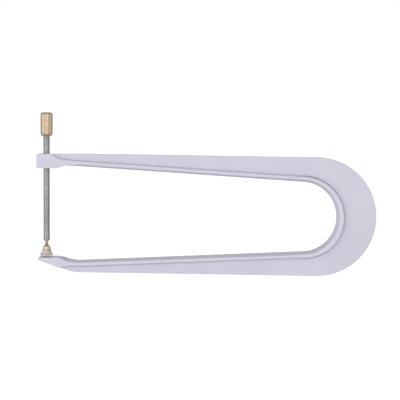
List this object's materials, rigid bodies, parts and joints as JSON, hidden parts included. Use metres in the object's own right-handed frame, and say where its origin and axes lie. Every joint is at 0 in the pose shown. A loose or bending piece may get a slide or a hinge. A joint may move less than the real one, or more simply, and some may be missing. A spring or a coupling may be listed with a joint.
{
  "type": "deep-throat screw clamp",
  "caption": "Slim C-shaped clamp with a deep tapering throat, a flat anvil, and a fine screw with a knurled knob and a swivelling flared foot.",
  "frame": {"origin": "centre of the anvil face on the lower jaw, where the screw axis meets it", "axes": "+Z along the screw axis from the anvil towards the knob, +X along the throat towards the bend, Y across the thickness of the frame, which is the same on both sides of Y = 0"},
  "size_m": [0.2533, 0.014, 0.1223],
  "materials": {
    "painted_casting": "pale lavender-grey paint on a smooth light-alloy casting, satin",
    "steel": "plain rolled steel thread, slightly oily",
    "knurled_brass": "pale brass with straight rounded ridges, satin",
    "steel_ball": "ground steel",
    "polished_brass": "polished turned brass",
    "turned_brass": "as-turned brass"
  },
  "bodies": {
    "frame": {"frame": "painted_casting"},
    "ball": {"swivel_ball": "steel_ball"},
    "screw": {"spindle": "steel", "knob": "knurled_brass"},
    "foot": {"foot": "polished_brass", "socket_plug": "turned_brass"}
  },
  "joints": [
    {"name": "screw_travel", "type": "slide", "parent": "frame", "child": "ball", "axis": [0, 0, 1], "range_m": [-0.0008, 0.054]},
    {"name": "screw_spin", "type": "hinge", "parent": "ball", "child": "screw", "pos_m": [0, 0, 0.00615], "axis": [0, 0, 1], "range_deg": [-360, 24300]},
    {"name": "foot_tilt", "type": "hinge", "parent": "ball", "child": "foot", "pos_m": [0, 0, 0.00615], "axis": [0, 1, 0], "range_deg": [-5, 5]}
  ],
  "couplings": [
    {"joint": "screw_spin", "follows": "screw_travel", "rad_per_m": 7854}
  ]
}
